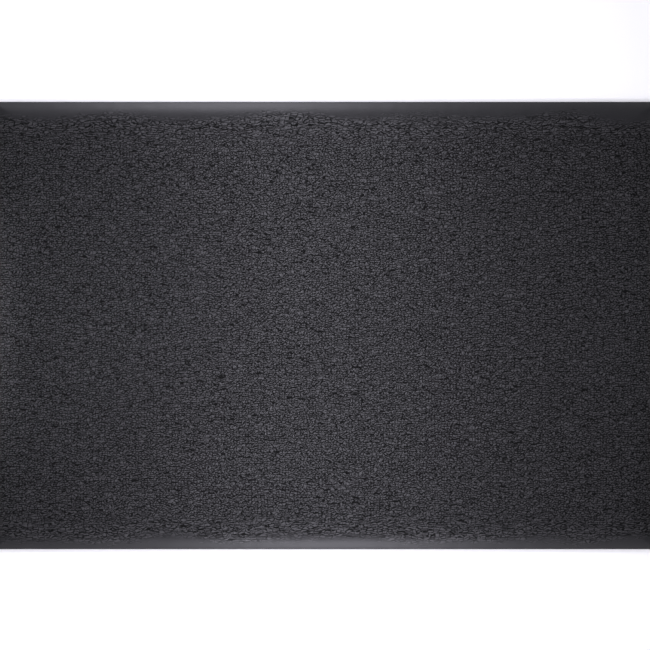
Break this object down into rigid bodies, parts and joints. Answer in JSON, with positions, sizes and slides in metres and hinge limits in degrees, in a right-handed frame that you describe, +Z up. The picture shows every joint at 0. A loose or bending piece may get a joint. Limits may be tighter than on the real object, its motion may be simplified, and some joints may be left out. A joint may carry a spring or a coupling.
{
  "type": "anti-fatigue mat",
  "caption": "Rectangular standing mat for a hard floor, black pebbled vinyl over a foam core, with a rim that curves down on all sides.",
  "frame": {"origin": "on the floor under the middle of the mat", "axes": "+X along the mat's length, +Y across it, +Z up through the standing surface"},
  "size_m": [0.914, 0.61, 0.0095],
  "materials": {
    "wear_vinyl": "satin",
    "bond_film": "satin",
    "core_foam": "matte",
    "base_vinyl": "matte"
  },
  "bodies": {
    "root": {"wear_layer": "wear_vinyl", "upper_bond_film": "bond_film", "foam_core": "core_foam", "lower_bond_film": "bond_film", "grip_base": "base_vinyl"}
  },
  "joints": []
}
